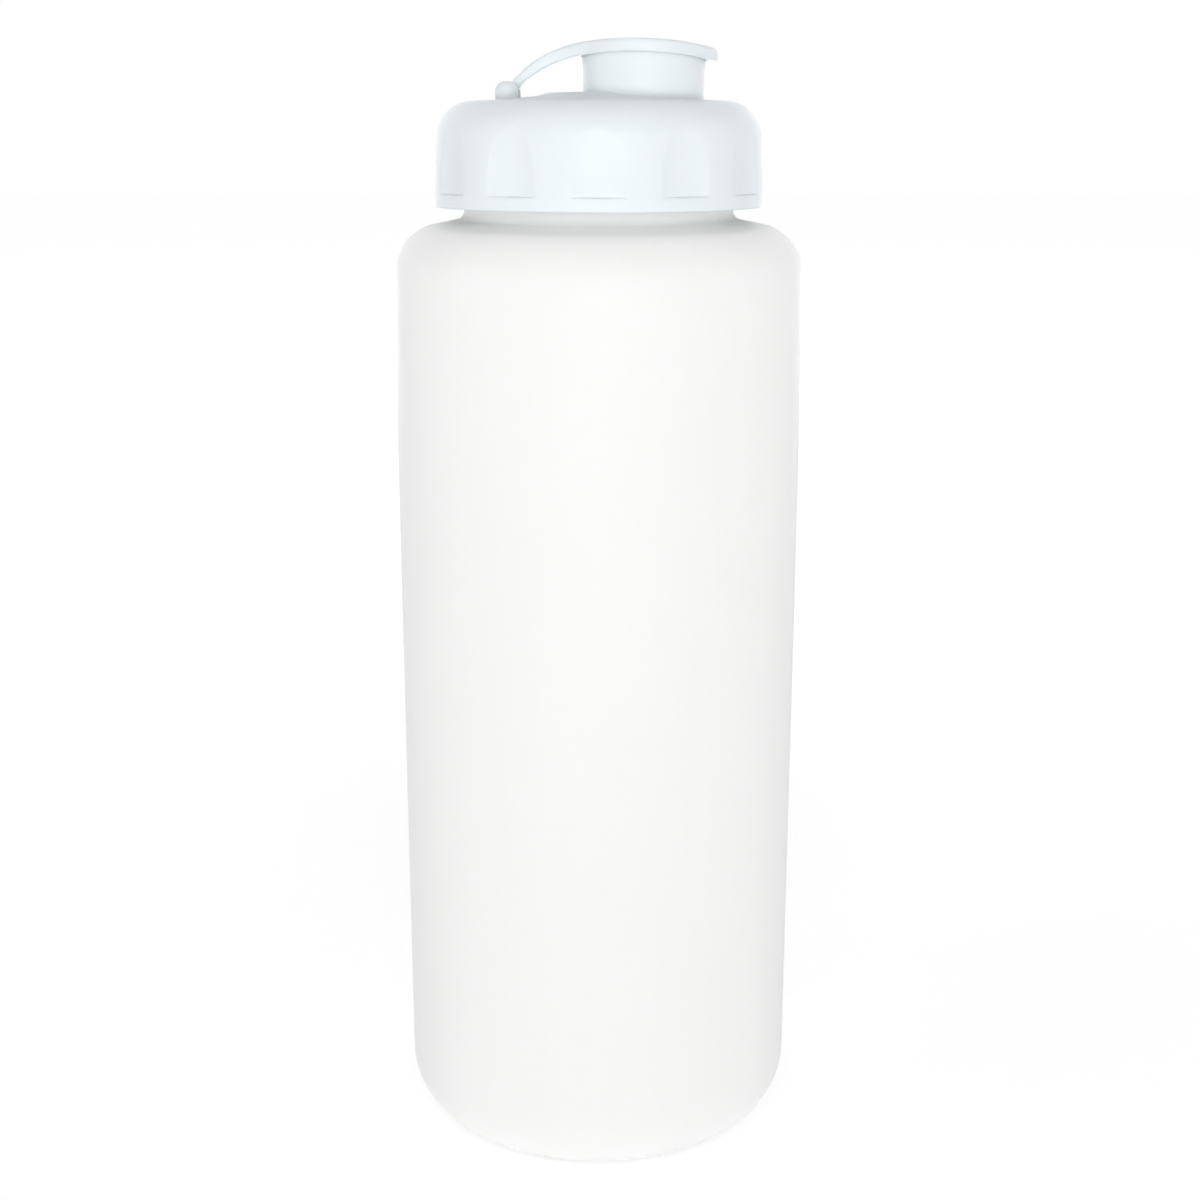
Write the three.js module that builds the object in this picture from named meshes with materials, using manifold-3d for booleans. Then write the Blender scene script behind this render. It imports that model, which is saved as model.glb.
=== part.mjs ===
// A blow-moulded squeeze bottle with a screw cap, an off-centre pouring spout
// and a flip lid on an arched arm. Millimetres, +Z up, origin at the centre of
// the base. The spout lies towards +X and the lid's hinge towards -X.

import * as THREE from 'three';
import { mergeVertices, toCreasedNormals } from 'three/addons/utils/BufferGeometryUtils.js';
import Module from 'manifold-3d';

const wasm = await Module();
wasm.setup();

// Fits that several pieces share
const seatGap = 0.3; // between pieces that touch or close on each other
const pivotClearance = 0.07; // radial play of the lid's pins in their sockets
const cutOverrun = 1; // how far a cutter runs past the face it opens
const weldDepth = 0.4; // how far a joined feature is rooted in its wall

// Smoothness of round shapes
const roundSegments = 48;
const smallSegments = 24;
const arcSteps = 5;
const creaseAngle = THREE.MathUtils.degToRad(32);

// Bottle body
const bodyRadius = 42.5;
const bodyHeight = 197.3; // base to the crown of the shoulder curve
const bodyWall = 1.3;
const heelRadius = 12.2;
const footRingWidth = 5.3; // the bottle stands on this ring, inside the heel's curve
const pushUp = 2.2; // height of the hollow in the middle of the base
const shoulderShelf = 4; // what the shoulder's curve leaves of the way from body to neck
const shoulderSweepDeg = 85;
const shoulderEase = 0.45; // the body draws in this much below the shoulder curve
const shoulderEaseLength = 22;
const shoulderRise = 0.7; // what the shoulder still climbs on its way to the neck
const neckRadius = 27.7;
const neckWall = 2.2;
const neckFillet = 0.9;
const neckHeight = 20.3; // crown of the shoulder curve to the rim
const rimChamfer = 0.4;

// Thread that the neck and the cap share
const threadPitch = 6;
const threadTurns = 1.5;
const threadStart = 3.9; // above the bottom of the closed cap's skirt
const threadFootWidth = 3.4;
const threadCrestWidth = 1.6;
const neckThreadDepth = 2.2;
const capThreadDepth = 1.7;
const threadStepsPerTurn = 36;
const threadFadeShare = 0.08; // share of the thread that runs out at each end

// Screw cap
const neckShown = 3.3; // shoulder crown to the bottom of the closed cap
const capHeight = 20.8; // bottom of the skirt to the flat of the top
const threadRoom = 2.9; // neck to the cap's bore, radially, with both threads in it
const capWall = 2.6; // at the foot of the top's round edge
const capFlare = 0.8; // how much wider the skirt is at its foot
const capEdgeRadius = 7.4;
const capFootChamfer = 0.3;
const capTopWall = 1.9;
const capBoreLeadIn = 0.6;
const capCornerWidth = 1.6; // bevel in the corner between bore and top wall
const capCornerDrop = 1.9;
const plugRibPlay = 0.7; // between the neck and the rib that centres the seal
const plugRibWall = 1.2;
const plugRibDepth = 4;

// Low raised middle of the cap's top
const apronInset = 4.3; // flat ring between the top's round edge and the apron
const apronRise = 1;
const padFootRadius = 12.3;
const padRadius = 10.6;
const padRise = 1.6;
const padCrown = 0.2;

// Grip flutes round the cap, each ending on the band at the foot of the skirt
const fluteCount = 12;
const bandHeight = 2.7;
const fluteHalfWidth = 5.3;
const fluteDepth = 1.2;
const fluteArchStart = 7.4;
const fluteArchHeight = 8.6;
const fluteArchEase = 1;

// Pouring spout
const spoutOffset = 9.1; // from the bottle's axis towards +X
const spoutRimRadius = 12.45;
const spoutFootRadius = 12.2;
const spoutHeight = 9.4; // flat of the top to the rim
const spoutBoreRadius = 10.4;
const spoutFillet = 0.5;

// Hinge: two domed posts on the cap hold the pins on the lid's arm
const hingeOffset = 18.4; // from the bottle's axis towards -X
const hingeLift = 1.9; // flat of the top to the pins' axis
const postRadius = 2.3;
const postHeight = 3.7; // flat of the top to the dome's peak
const postDome = 1.8;
const pinRadius = 1.1;
const pinLength = 1.9;

// Flip lid
const lidThickness = 2.55;
const lidWeb = 2; // what is left of the plate over the spout's rim
const lidRadius = 13.6;
const lidLip = 1.4; // how far the thumb lip stands out of the round plate
const lidLipHalfWidth = 6;
const lidCrownRadius = 100;
const lidCrownShift = 3.1; // the arch's peak lies this far from the spout's centre, towards the hinge
const lidBendStart = 11.1; // the arm bends from this far off the spout's centre
const lidRecessPlay = 0.4; // round the spout's rim
const armWidth = 8;
const armFlareHalfWidth = 8; // where the arm's flare meets the round plate
const armFlareShare = 0.5; // share of the arm that keeps its width
const knuckleRadius = 1.8;
const armRootDeg = 65; // where the arm's top edge leaves the knuckle's round, above level
const lidPlugDepth = 2.6;
const lidPlugPlay = 0.35; // inside the spout's bore, at the plug's root
const lidPlugTaper = 0.75;
const lidPlugWall = 1.15;

// Seal ring between the neck's rim and the cap's top wall
const sealWidth = 3.4;

// Places worked out from the sizes above
const footInnerRadius = bodyRadius - heelRadius - footRingWidth;
const shoulderRadius = bodyRadius - neckRadius - shoulderShelf;
const capBoreRadius = neckRadius + threadRoom;
const capLandRadius = capBoreRadius + capWall; // where the upright side meets the round edge
const capFootRadius = capLandRadius + capFlare;
const apronRadius = capLandRadius - capEdgeRadius - apronInset;
const plugRibRadius = neckRadius - neckWall - plugRibPlay;
const capBottom = bodyHeight + neckShown;
const rimHeight = bodyHeight + neckHeight;
const capCeiling = capHeight - capTopWall;
const sealThickness = capBottom + capCeiling - rimHeight - 2 * seatGap;
const capDraft = capFlare / (capHeight - capEdgeRadius);
const lidCentre = spoutOffset + hingeOffset; // seen from the hinge
const lidCeiling = spoutHeight - hingeLift + seatGap;
const armHalfWidth = armWidth / 2;
const postOffset = armHalfWidth + seatGap + postRadius;

// Finishes
const bottleFinish = { color: 0xf6f6f3, roughness: 0.55, metalness: 0 };
const capFinish = { color: 0xeff6f8, roughness: 0.28, metalness: 0 };
const sealFinish = { color: 0xdedcd4, roughness: 0.9, metalness: 0 };

// Points [radius, height] along an arc, angles in degrees from the radius axis
function arc(centreR, centreZ, radiusR, fromDeg, toDeg, radiusZ = radiusR, steps = arcSteps) {
  const points = [];
  for (let i = 0; i <= steps; i += 1) {
    const angle = THREE.MathUtils.degToRad(fromDeg + ((toDeg - fromDeg) * i) / steps);
    points.push([centreR + radiusR * Math.cos(angle), centreZ + radiusZ * Math.sin(angle)]);
  }
  return points;
}

// A closed solid for joining and cutting, from any closed geometry
function solid(geometry) {
  geometry.deleteAttribute('normal');
  geometry.deleteAttribute('uv');
  const merged = mergeVertices(geometry);
  const corners = merged.index.array;
  const triVerts = [];
  for (let i = 0; i < corners.length; i += 3) {
    const [a, b, c] = corners.slice(i, i + 3);
    if (a !== b && b !== c && c !== a) triVerts.push(a, b, c);
  }
  const mesh = new wasm.Mesh({
    numProp: 3,
    vertProperties: merged.attributes.position.array,
    triVerts: Uint32Array.from(triVerts),
  });
  return new wasm.Manifold(mesh);
}

// A profile of [radius, height] points turned about the vertical, then moved
function turned(profile, segments = roundSegments, [x, y, z] = [0, 0, 0]) {
  const outline = profile.map(([radius, height]) => new THREE.Vector2(radius, height));
  const geometry = new THREE.LatheGeometry(outline, segments);
  geometry.rotateX(Math.PI / 2);
  geometry.translate(x, y, z);
  return solid(geometry);
}

// A round bar along Y
function crossBar(radius, length, [x, y, z] = [0, 0, 0]) {
  const geometry = new THREE.CylinderGeometry(radius, radius, length, smallSegments);
  geometry.translate(x, y, z);
  return solid(geometry);
}

// A closed outline given some depth, centred on its own plane
function extruded(outline, depth, curveSegments) {
  const geometry = new THREE.ExtrudeGeometry(outline, { depth, curveSegments, bevelEnabled: false });
  geometry.translate(0, 0, -depth / 2);
  return geometry;
}

// A named mesh with its finish, from a finished solid
function piece(name, shape, finish) {
  const { vertProperties, triVerts } = shape.getMesh();
  const geometry = new THREE.BufferGeometry();
  geometry.setAttribute('position', new THREE.BufferAttribute(vertProperties, 3));
  geometry.setIndex(new THREE.BufferAttribute(triVerts, 1));
  const mesh = new THREE.Mesh(
    toCreasedNormals(geometry, creaseAngle),
    new THREE.MeshStandardMaterial(finish),
  );
  mesh.name = name;
  return mesh;
}

// One helical ridge that stands out of a wall, outwards or inwards
function helicalRidge({ wallRadius, depth, startHeight, startTurn, outwards }) {
  const side = outwards ? 1 : -1;
  const steps = Math.round(threadTurns * threadStepsPerTurn);
  const positions = [];
  const indices = [];
  for (let i = 0; i <= steps; i += 1) {
    const share = i / steps;
    const fade = Math.min(1, share / threadFadeShare, (1 - share) / threadFadeShare);
    const angle = 2 * Math.PI * (startTurn + threadTurns * share);
    const middle = startHeight + threadPitch * threadTurns * share;
    const foot = wallRadius - side * weldDepth;
    const crest = wallRadius + side * depth * fade;
    const section = [
      [foot, middle - threadFootWidth / 2],
      [crest, middle - threadCrestWidth / 2],
      [crest, middle + threadCrestWidth / 2],
      [foot, middle + threadFootWidth / 2],
    ];
    for (const [radius, height] of section) {
      positions.push(radius * Math.cos(angle), radius * Math.sin(angle), height);
    }
  }
  const addQuad = (a, b, c, d) => {
    if (outwards) indices.push(a, b, c, a, c, d);
    else indices.push(a, c, b, a, d, c);
  };
  for (let i = 0; i < steps; i += 1) {
    for (let k = 0; k < 4; k += 1) {
      const next = (k + 1) % 4;
      addQuad(4 * i + k, 4 * (i + 1) + k, 4 * (i + 1) + next, 4 * i + next);
    }
  }
  addQuad(0, 1, 2, 3);
  addQuad(4 * steps + 3, 4 * steps + 2, 4 * steps + 1, 4 * steps);
  const geometry = new THREE.BufferGeometry();
  geometry.setAttribute('position', new THREE.Float32BufferAttribute(positions, 3));
  geometry.setIndex(indices);
  return solid(geometry);
}

// Height of the hollow base's surface above its foot, at a radius
function baseRise(radius) {
  return pushUp * (1 - (radius / footInnerRadius) ** 2);
}

function bottleShell() {
  const heelCentre = bodyRadius - heelRadius;
  const shoulderCentreR = bodyRadius - shoulderEase - shoulderRadius;
  const shoulderCentreZ = bodyHeight - shoulderRadius;
  const easeStart = shoulderCentreZ - shoulderEaseLength;
  const neckFoot = bodyHeight + shoulderRise;
  const boreRadius = neckRadius - neckWall;
  const baseRadii = [0, footInnerRadius / 2, footInnerRadius];
  const outer = [
    ...baseRadii.map((radius) => [radius, baseRise(radius)]),
    ...arc(heelCentre, heelRadius, heelRadius, -90, 0),
    [bodyRadius, easeStart],
    ...arc(shoulderCentreR, shoulderCentreZ, shoulderRadius, 0, shoulderSweepDeg),
    ...arc(neckRadius + neckFillet, neckFoot + neckFillet, neckFillet, 270, 180, neckFillet, 3),
    [neckRadius, rimHeight - rimChamfer],
    [neckRadius - rimChamfer, rimHeight],
  ];
  const inner = [
    [boreRadius + rimChamfer, rimHeight],
    [boreRadius, rimHeight - rimChamfer],
    [boreRadius, neckFoot],
    [boreRadius + neckWall - bodyWall, neckFoot - bodyWall],
    ...arc(shoulderCentreR, shoulderCentreZ, shoulderRadius - bodyWall, shoulderSweepDeg, 0),
    [bodyRadius - bodyWall, easeStart],
    ...arc(heelCentre, heelRadius, heelRadius - bodyWall, 0, -90),
    ...baseRadii.reverse().map((radius) => [radius, baseRise(radius) + bodyWall]),
  ];
  const thread = helicalRidge({
    wallRadius: neckRadius,
    depth: neckThreadDepth,
    startHeight: capBottom + threadStart,
    startTurn: 0,
    outwards: true,
  });
  return turned([...outer, ...inner]).add(thread);
}

function capShell() {
  const edgeCentreR = capLandRadius - capEdgeRadius;
  const edgeCentreZ = capHeight - capEdgeRadius;
  const plugBottom = capCeiling - plugRibDepth;
  return turned([
    [0, capCeiling],
    [plugRibRadius - plugRibWall, capCeiling],
    [plugRibRadius - plugRibWall, plugBottom],
    [plugRibRadius, plugBottom],
    [plugRibRadius, capCeiling],
    [capBoreRadius - capCornerWidth, capCeiling],
    [capBoreRadius, capCeiling - capCornerDrop],
    [capBoreRadius, capBoreLeadIn],
    [capBoreRadius + capBoreLeadIn, 0],
    [capFootRadius - capFootChamfer, 0],
    [capFootRadius, capFootChamfer],
    ...arc(edgeCentreR, edgeCentreZ, capEdgeRadius, 0, 90, capEdgeRadius, 7),
    [apronRadius, capHeight],
    [padFootRadius, capHeight + apronRise],
    [padRadius, capHeight + padRise],
    [0, capHeight + padRise + padCrown],
  ]);
}

// The cutter of one flute: a wide upright round, tapered like the skirt and eased out at its top
function fluteCutter(index) {
  const landRadius = capFootRadius - capDraft * bandHeight;
  const lean = landRadius - Math.sqrt(landRadius ** 2 - fluteHalfWidth ** 2);
  const bite = fluteDepth - lean;
  const footRadius = (fluteHalfWidth ** 2 + bite ** 2) / (2 * bite);
  const topRadius = footRadius + capDraft * (fluteArchStart - bandHeight);
  const angle = (2 * Math.PI * index) / fluteCount;
  const reach = landRadius - fluteDepth + footRadius;
  const place = [reach * Math.cos(angle), reach * Math.sin(angle), 0];
  const profile = [
    [0, bandHeight],
    [footRadius, bandHeight],
    ...arc(topRadius - fluteArchEase, fluteArchStart, fluteArchEase, 0, 90, fluteArchHeight, 6),
    [0, fluteArchStart + fluteArchHeight],
  ];
  return turned(profile, roundSegments, place);
}

function spoutTube() {
  const foot = capHeight - capTopWall / 2;
  return turned([
    [0, foot],
    [spoutFootRadius + spoutFillet, foot],
    [spoutFootRadius + spoutFillet, capHeight],
    [spoutFootRadius, capHeight + spoutFillet],
    [spoutRimRadius, capHeight + spoutHeight],
    [0, capHeight + spoutHeight],
  ], roundSegments, [spoutOffset, 0, 0]);
}

function spoutBore() {
  return turned([
    [0, capCeiling - cutOverrun],
    [spoutBoreRadius, capCeiling - cutOverrun],
    [spoutBoreRadius, capHeight + spoutHeight + cutOverrun],
    [0, capHeight + spoutHeight + cutOverrun],
  ], roundSegments, [spoutOffset, 0, 0]);
}

// One post with the blind socket that a pin of the lid turns in
function hingePost(side) {
  const dome = arc(postRadius - postDome, capHeight + postHeight - postDome, postDome, 0, 90, postDome, 4);
  const post = turned([
    [0, capHeight - capTopWall / 2],
    [postRadius, capHeight - capTopWall / 2],
    ...dome,
    [0, capHeight + postHeight],
  ], smallSegments, [-hingeOffset, side * postOffset, 0]);
  const socketDepth = pinLength + seatGap;
  const socketLength = socketDepth + cutOverrun;
  const middle = armHalfWidth + socketDepth - socketLength / 2;
  const socketPlace = [-hingeOffset, side * middle, capHeight + hingeLift];
  return post.subtract(crossBar(pinRadius + pivotClearance, socketLength, socketPlace));
}

// The floor of the hinge, cut level so that the arm's knuckle turns clear of the top
function hingePocket() {
  const reach = knuckleRadius + seatGap;
  const floor = capHeight + hingeLift - reach;
  const height = apronRise + reach;
  const geometry = new THREE.BoxGeometry(2 * postRadius, armWidth + 2 * seatGap, height);
  geometry.translate(-hingeOffset, 0, floor + height / 2);
  return solid(geometry);
}

function screwCap() {
  const thread = helicalRidge({
    wallRadius: capBoreRadius,
    depth: capThreadDepth,
    startHeight: threadStart,
    startTurn: 0.5,
    outwards: false,
  });
  let cap = capShell().add(thread);
  for (let i = 0; i < fluteCount; i += 1) cap = cap.subtract(fluteCutter(i));
  cap = cap.add(spoutTube()).subtract(spoutBore()).subtract(hingePocket());
  for (const side of [-1, 1]) cap = cap.add(hingePost(side));
  return cap;
}

function sealRing() {
  const inner = plugRibRadius + seatGap;
  return turned([
    [inner, 0],
    [inner + sealWidth, 0],
    [inner + sealWidth, sealThickness],
    [inner, sealThickness],
    [inner, 0],
  ]);
}

// Side view of the lid's plate and arm: two arcs that run into each other, and
// the same two again one thickness lower. The origin is the hinge, and the
// arm's arc is the one that ends on the knuckle's round.
function lidSideView() {
  const crownX = lidCentre - lidCrownShift;
  const crownZ = lidCeiling + lidWeb;
  const bendX = lidCentre - lidBendStart;
  const tipX = lidCentre + lidRadius + lidLip;
  const plateCentre = new THREE.Vector2(crownX, crownZ - lidCrownRadius);
  const bendAngle = Math.acos((bendX - crownX) / lidCrownRadius);
  const tipAngle = Math.acos((tipX - crownX) / lidCrownRadius);
  const outwards = new THREE.Vector2(Math.cos(bendAngle), Math.sin(bendAngle));
  const bend = plateCentre.clone().addScaledVector(outwards, lidCrownRadius);
  const rootAngle = THREE.MathUtils.degToRad(armRootDeg);
  const root = new THREE.Vector2(Math.cos(rootAngle), Math.sin(rootAngle)).multiplyScalar(knuckleRadius);
  const fromKnuckle = bend.clone().sub(root);
  const armRadius = fromKnuckle.lengthSq() / (2 * outwards.dot(fromKnuckle));
  const armCentre = bend.clone().addScaledVector(outwards, -armRadius);
  const endAngle = Math.atan2(root.y - armCentre.y, root.x - armCentre.x);
  const shape = new THREE.Shape();
  shape.absarc(plateCentre.x, plateCentre.y, lidCrownRadius, tipAngle, bendAngle, false);
  shape.absarc(armCentre.x, armCentre.y, armRadius, bendAngle, endAngle, false);
  const lowArmY = armCentre.y - lidThickness;
  const lowPlateY = plateCentre.y - lidThickness;
  shape.absarc(armCentre.x, lowArmY, armRadius, endAngle, bendAngle, true);
  shape.absarc(plateCentre.x, lowPlateY, lidCrownRadius, bendAngle, tipAngle, true);
  shape.closePath();
  return shape;
}

// Top view of the lid: round plate, thumb lip, and the arm that flares into the plate
function lidTopView() {
  const lipTip = lidCentre + lidRadius + lidLip;
  const lipAngle = Math.asin(lidLipHalfWidth / lidRadius);
  const armJoinAngle = Math.PI - Math.asin(armFlareHalfWidth / lidRadius);
  const joinX = lidCentre + lidRadius * Math.cos(armJoinAngle);
  const joinY = lidRadius * Math.sin(armJoinAngle);
  const flareX = joinX * armFlareShare;
  const shape = new THREE.Shape();
  shape.moveTo(0, -armHalfWidth);
  shape.lineTo(flareX, -armHalfWidth);
  shape.quadraticCurveTo((flareX + joinX) / 2, -armHalfWidth, joinX, -joinY);
  shape.absarc(lidCentre, 0, lidRadius, -armJoinAngle, -lipAngle, false);
  shape.quadraticCurveTo(lipTip, -lidLipHalfWidth, lipTip, 0);
  shape.quadraticCurveTo(lipTip, lidLipHalfWidth, lidCentre + lidRadius * Math.cos(lipAngle), lidLipHalfWidth);
  shape.absarc(lidCentre, 0, lidRadius, lipAngle, armJoinAngle, false);
  shape.quadraticCurveTo((flareX + joinX) / 2, armHalfWidth, flareX, armHalfWidth);
  shape.lineTo(0, armHalfWidth);
  shape.closePath();
  return shape;
}

function lidPlug() {
  const rootRadius = spoutBoreRadius - lidPlugPlay;
  const tipRadius = rootRadius - lidPlugTaper;
  const root = lidCeiling + lidWeb / 2;
  const tip = lidCeiling - lidPlugDepth;
  return turned([
    [tipRadius - lidPlugWall, tip],
    [tipRadius, tip],
    [rootRadius, lidCeiling],
    [rootRadius, root],
    [tipRadius - lidPlugWall, root],
    [tipRadius - lidPlugWall, tip],
  ], roundSegments, [lidCentre, 0, 0]);
}

function flipLid() {
  const band = extruded(lidSideView(), 2 * lidRadius + 2 * cutOverrun, 16);
  band.rotateX(Math.PI / 2);
  const outline = extruded(lidTopView(), 2 * (lidCeiling + lidWeb + cutOverrun), 12);
  const recessRadius = spoutRimRadius + lidRecessPlay;
  const recess = turned([
    [0, 0],
    [recessRadius, 0],
    [recessRadius, lidCeiling],
    [0, lidCeiling],
  ], roundSegments, [lidCentre, 0, 0]);
  const knuckle = crossBar(knuckleRadius, armWidth);
  const pins = crossBar(pinRadius, armWidth + 2 * pinLength);
  return solid(band).intersect(solid(outline)).subtract(recess).add(lidPlug()).add(knuckle).add(pins);
}

const bottle = piece('bottle', bottleShell(), bottleFinish);

const seal = piece('sealing_ring', sealRing(), sealFinish);
seal.position.z = rimHeight + seatGap;

const cap = new THREE.Group();
cap.position.z = capBottom;
cap.add(piece('screw_cap', screwCap(), capFinish));

const lid = piece('flip_lid', flipLid(), capFinish);
lid.position.set(-hingeOffset, 0, capHeight + hingeLift);
cap.add(lid);

const object = new THREE.Group();
object.add(bottle, seal, cap);

export default object;
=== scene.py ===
"""A white squeeze bottle with a fluted screw cap and a flip lid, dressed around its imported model.

The bottle's sizes are in millimetres, heights above the base, and become metres in the meshes.
The room, the lamps and the camera are in metres and degrees.
The spout lies towards +X, the lid's hinge towards -X, and the camera looks along +Y.
"""
import math

import bmesh
import bpy
from mathutils import Matrix, Vector


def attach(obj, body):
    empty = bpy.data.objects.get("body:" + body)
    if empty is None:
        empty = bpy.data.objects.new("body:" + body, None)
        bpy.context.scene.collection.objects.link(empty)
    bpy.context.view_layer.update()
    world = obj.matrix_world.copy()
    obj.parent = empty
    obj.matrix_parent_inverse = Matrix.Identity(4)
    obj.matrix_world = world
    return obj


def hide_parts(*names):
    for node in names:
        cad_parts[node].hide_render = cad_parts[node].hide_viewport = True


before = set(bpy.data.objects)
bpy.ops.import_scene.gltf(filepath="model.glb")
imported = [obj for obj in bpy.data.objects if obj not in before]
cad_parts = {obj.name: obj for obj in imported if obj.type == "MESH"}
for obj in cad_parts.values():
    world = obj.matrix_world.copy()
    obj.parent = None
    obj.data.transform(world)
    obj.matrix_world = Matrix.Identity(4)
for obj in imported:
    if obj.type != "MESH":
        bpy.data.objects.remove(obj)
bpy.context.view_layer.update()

MM = 0.001
UP = Vector((0, 0, 1))
AXIS_X = Vector((1, 0, 0))
FULL_TURN = 2 * math.pi

# Smoothness
BODY_STEPS = 192
FLUTE_STEPS = 50
RING_STEPS = 128
POST_STEPS = 48
TINY_STEPS = 2
EDGE_STEPS = 3
SOFT_STEPS = 4
FILLET_STEPS = 5
DOME_STEPS = 10
SHARP_ANGLE = math.radians(34)
WELD = 0.002

# Bottle
BODY_RADIUS = 42.5
BODY_WALL = 1.3
PUSH_UP = 2.2
FOOT_INNER = 25
DIMPLE_SHARE = 0.75
DIMPLE_ROUND = 5
FOOT_ROUND = 1.2
HEEL_ROUND = 12.2
EASE_HEIGHT = 164.5
EASE_ROUND = 12
EASE_STEPS = 6
SHOULDER_EDGE = 41.95
SHOULDER_HEIGHT = 195.25
SHOULDER_ROUND = 7.5
OUTER_BEND_STEPS = 16
INNER_BEND_STEPS = 10
NECK_RADIUS = 27.7
NECK_BORE = 25.5
NECK_ROOT = 198.18
NECK_FILLET = 1.5
NECK_BORE_FILLET = 0.8
RIM_HEIGHT = 217.6
RIM_ROUND = 0.5

# Thread that neck and cap share
PITCH = 6
THREAD_TURNS = 1.5
THREAD_STEPS = 120
THREAD_FADE = 9
THREAD_START = 3.9
THREAD_FOOT = 3.4
THREAD_CREST = 1.6
THREAD_ROOT = 0.4
THREAD_ROUND = 0.35
NECK_THREAD = 2.2
CAP_THREAD = 1.7
CAP_THREAD_TURN = 0.5

# Screw cap, heights above its own foot
CAP_FOOT = 200.6
CAP_RADIUS = 34
CAP_HEIGHT = 20.8
CAP_DRAFT = 0.8 / 13.4
CAP_EDGE_ROUND = 6.97
CAP_EDGE_STEPS = 26
CAP_TOP_WALL = 1.9
CAP_BORE = 30.6
CAP_LEAD_IN = 0.6
CAP_LEAD_ROUND = 0.2
CAP_FOOT_ROUND = 0.4
APRON_RADIUS = 21.5
APRON_RISE = 1.0
APRON_ROUND = 1.2
PAD_FOOT = 12.3
PAD_FOOT_ROUND = 0.5
PAD_RADIUS = 10.6
PAD_RISE = 1.6
PAD_ROUND = 0.6
PAD_CROWN = 0.2
RIB_RADIUS = 24.8
RIB_WALL = 1.2
RIB_DEPTH = 4
RIB_ROUND = 0.3
CORNER_WIDTH = 1.6
CORNER_DROP = 1.9
CORNER_ROUND = 0.5
OVERRUN = 1

# Grip flutes
FLUTES = 12
BAND_HEIGHT = 2.7
FLUTE_HALF_WIDTH = 5.3
FLUTE_DEPTH = 1.2
FLUTE_EDGE = 0.11
ARCH_START = 7.4
ARCH_HEIGHT = 8.6
ARCH_EASE = 1.0
FLUTE_ROWS = 32
TOP_ROW_GAP = 0.2
SKIN_GAP = 1

# Heights on the ledge at a flute's foot, each with the share of the depth that is cut there
LEDGE_ROWS = (
    (2.42, 0), (2.55, 0.03), (2.64, 0.1), (2.69, 0.21), (2.73, 0.5),
    (2.77, 0.8), (2.82, 0.93), (2.92, 0.985), (3.05, 1),
)

# Spout
SPOUT_OFFSET = 9.1
SPOUT_RIM = 12.45
SPOUT_FOOT = 12.2
SPOUT_HEIGHT = 9.4
SPOUT_BORE = 10.4
SPOUT_ROUND = 0.4
SPOUT_FILLET = 0.55
SPOUT_FILLET_SINK = 0.05
SPOUT_FOOT_LIFT = 0.02
BORE_LEAD_IN = 0.35
BORE_FLARE = 0.45
BORE_ROUND = 0.2

# Hinge
HINGE_OFFSET = 18.4
HINGE_LIFT = 1.9
POST_RADIUS = 2.3
POST_HEIGHT = 3.7
POST_DOME = 1.95
POST_SHIFT = 6.6
SOCKET_RADIUS = 1.17
SOCKET_DEPTH = 2.2
SOCKET_ROUND = 0.1
POCKET_GAP = 0.3
POCKET_ROUND = 0.15

# Lid, measured from the hinge
LID_CENTRE = SPOUT_OFFSET + HINGE_OFFSET
LID_THICKNESS = 2.55
LID_CEILING = 7.8
LID_WEB = 2
LID_RADIUS = 13.6
LIP = 1.4
LIP_ANGLE = 34
LIP_EASE = 2.4
LIP_HALF_WIDTH = 4.7
CROWN_RADIUS = 100
CROWN_SHIFT = 3.1
BEND_START = 11.1
LID_TOP_ROUND = 0.75
LID_FOOT_ROUND = 0.32
NOSE = 1.3
NOSE_TOP_DROP = 0.75
NOSE_FOOT_LIFT = 0.3
FOOT_RIM_SLACK = 0.001
RECESS_RADIUS = 12.85
RECESS_ROUND = 0.25
ARM_HALF_WIDTH = 4
FLARE_HALF_WIDTH = 8
FLARE_SHARE = 0.5
KNUCKLE_RADIUS = 1.8
KNUCKLE_ROUND = 0.35
ARM_ROOT_ANGLE = math.radians(65)
PIN_RADIUS = 1.1
PIN_LENGTH = 1.9
PIN_ROUND = 0.2
PLUG_ROOT = 10.05
PLUG_TIP = 9.3
PLUG_BORE = 8.15
PLUG_DEPTH = 2.6
PLUG_ROUND = 0.4
FLARE_STEPS = 10
PLATE_STEPS = 30
LIP_STEPS = 14
ARM_CUTS = 26
PLATE_CUTS = 18
NOSE_CUTS = 5

# Seal ring
SEAL_FOOT = 217.9
SEAL_INNER = 25.1
SEAL_OUTER = 28.5
SEAL_THICKNESS = 1.3
SEAL_ROUND = 0.25

# Whites, the darker and the lighter end of each
BODY_WHITES = (0.915, 0.916, 0.91), (0.94, 0.94, 0.937)
CAP_WHITES = (0.848, 0.893, 0.914), (0.866, 0.91, 0.931)
FOAM_WHITES = (0.76, 0.75, 0.71), (0.83, 0.82, 0.78)
FLOOR_WHITES = (0.92, 0.92, 0.92), (0.94, 0.94, 0.94)

# Room and lamps
AMBIENT = 0.31
FLOOR_HALF_WIDTH = 6
# Painted shade and light on the floor: its camera-ray glow is weaker near the bottle, so the floor there and
# the bottle's shadow render darker, and stronger far away, where it makes up for the lamps' falloff.
FLOOR_GLOW = 0.48
FLOOR_GLOW_FAR = 0.7
FLOOR_FADE = 0.9
LAMP_AIM = (0, 0, 0.13)

# Camera
FRAME_PIXELS = 1200
FOCAL_PIXELS = 1785.76
SENSOR_WIDTH = 36
SHIFT_RIGHT = 0.0013
CAMERA_PLACE = (0, -0.37639, 0.21566)
CAMERA_DIP = 14.74
CAMERA_ROLL = 0.04
NEAREST_SEEN = 0.01
FARTHEST_SEEN = 50


# Mesh work

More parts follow.
